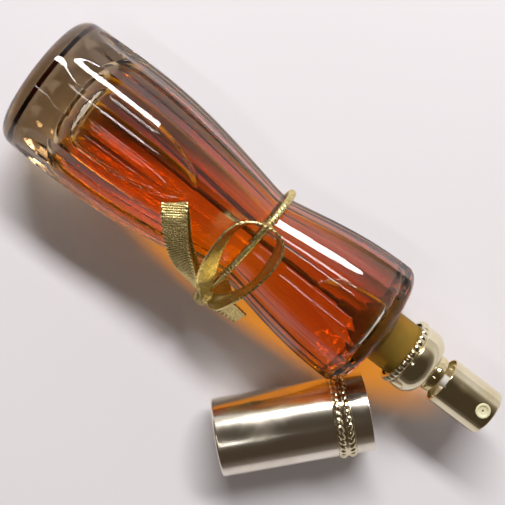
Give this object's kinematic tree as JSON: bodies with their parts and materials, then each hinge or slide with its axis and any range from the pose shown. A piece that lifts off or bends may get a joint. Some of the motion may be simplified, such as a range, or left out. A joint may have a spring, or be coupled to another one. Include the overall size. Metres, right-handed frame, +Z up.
{
  "type": "perfume atomiser",
  "caption": "Fluted, waisted glass perfume flask with crimped spray pump, gold ribbon bow, and metal cap laid beside it.",
  "frame": {"origin": "on the table, under the middle of the whole object's box as it lies", "axes": "+X along the flask from its base to its pump, +Z up from the table, cap on the -Y side"},
  "size_m": [0.1414, 0.0728, 0.0401],
  "materials": {
    "clear_glass": "polished clear pressed glass",
    "amber_perfume": "clear deep amber liquid",
    "pale_gold": "polished pale gold anodised",
    "deep_gold": "polished gold anodised",
    "champagne_metal": "polished champagne anodised",
    "raw_aluminium": "mill",
    "spring_steel": "bright drawn",
    "translucent_plastic": "translucent polyethylene",
    "white_plastic": "moulded white polypropylene",
    "cream_plastic": "moulded cream",
    "black_rubber": "matt",
    "gold_ribbon": "woven metallic thread"
  },
  "bodies": {
    "flask": {"bottle_glass": "clear_glass", "perfume_fill": "amber_perfume", "dip_tube": "translucent_plastic", "neck_gasket": "black_rubber", "pump_housing": "translucent_plastic", "return_spring": "spring_steel", "stem_seal": "black_rubber", "turret": "deep_gold", "crimp_ferrule": "raw_aluminium", "pump_collar": "pale_gold", "ribbon_band": "gold_ribbon", "ribbon_knot": "gold_ribbon", "ribbon_flat_loop": "gold_ribbon", "ribbon_round_loop": "gold_ribbon", "ribbon_long_tail": "gold_ribbon", "ribbon_short_tail": "gold_ribbon"},
    "pump_stem": {"stem": "white_plastic", "piston": "translucent_plastic", "preload_spring": "spring_steel"},
    "actuator": {"actuator_shell": "pale_gold", "actuator_core": "white_plastic", "nozzle_insert": "cream_plastic"},
    "valve_ball": {"inlet_ball": "spring_steel"},
    "cap": {"cap_shell": "champagne_metal", "cap_liner": "white_plastic", "cap_rope_collar": "pale_gold"}
  },
  "joints": [
    {"name": "pump_press", "type": "slide", "parent": "flask", "child": "pump_stem", "axis": [-0.9999, 0, 0.0125], "range_m": [0, 0.0044], "stiffness_N_per_m": 2000, "springref_m": -0.002, "deforming": ["return_spring"]},
    {"name": "actuator_swivel", "type": "hinge", "parent": "pump_stem", "child": "actuator", "pos_m": [0.063, 0.01802, 0.01705], "axis": [0.9999, 0, -0.0125], "continuous": true},
    {"name": "ball_lift", "type": "slide", "parent": "flask", "child": "valve_ball", "axis": [0.9999, 0, -0.0125], "range_m": [0, 0.0011]},
    {"name": "cap_pull", "type": "slide", "parent": "flask", "child": "cap", "axis": [-0.6769, -0.7361, 0], "range_m": [0, 0.03]}
  ]
}
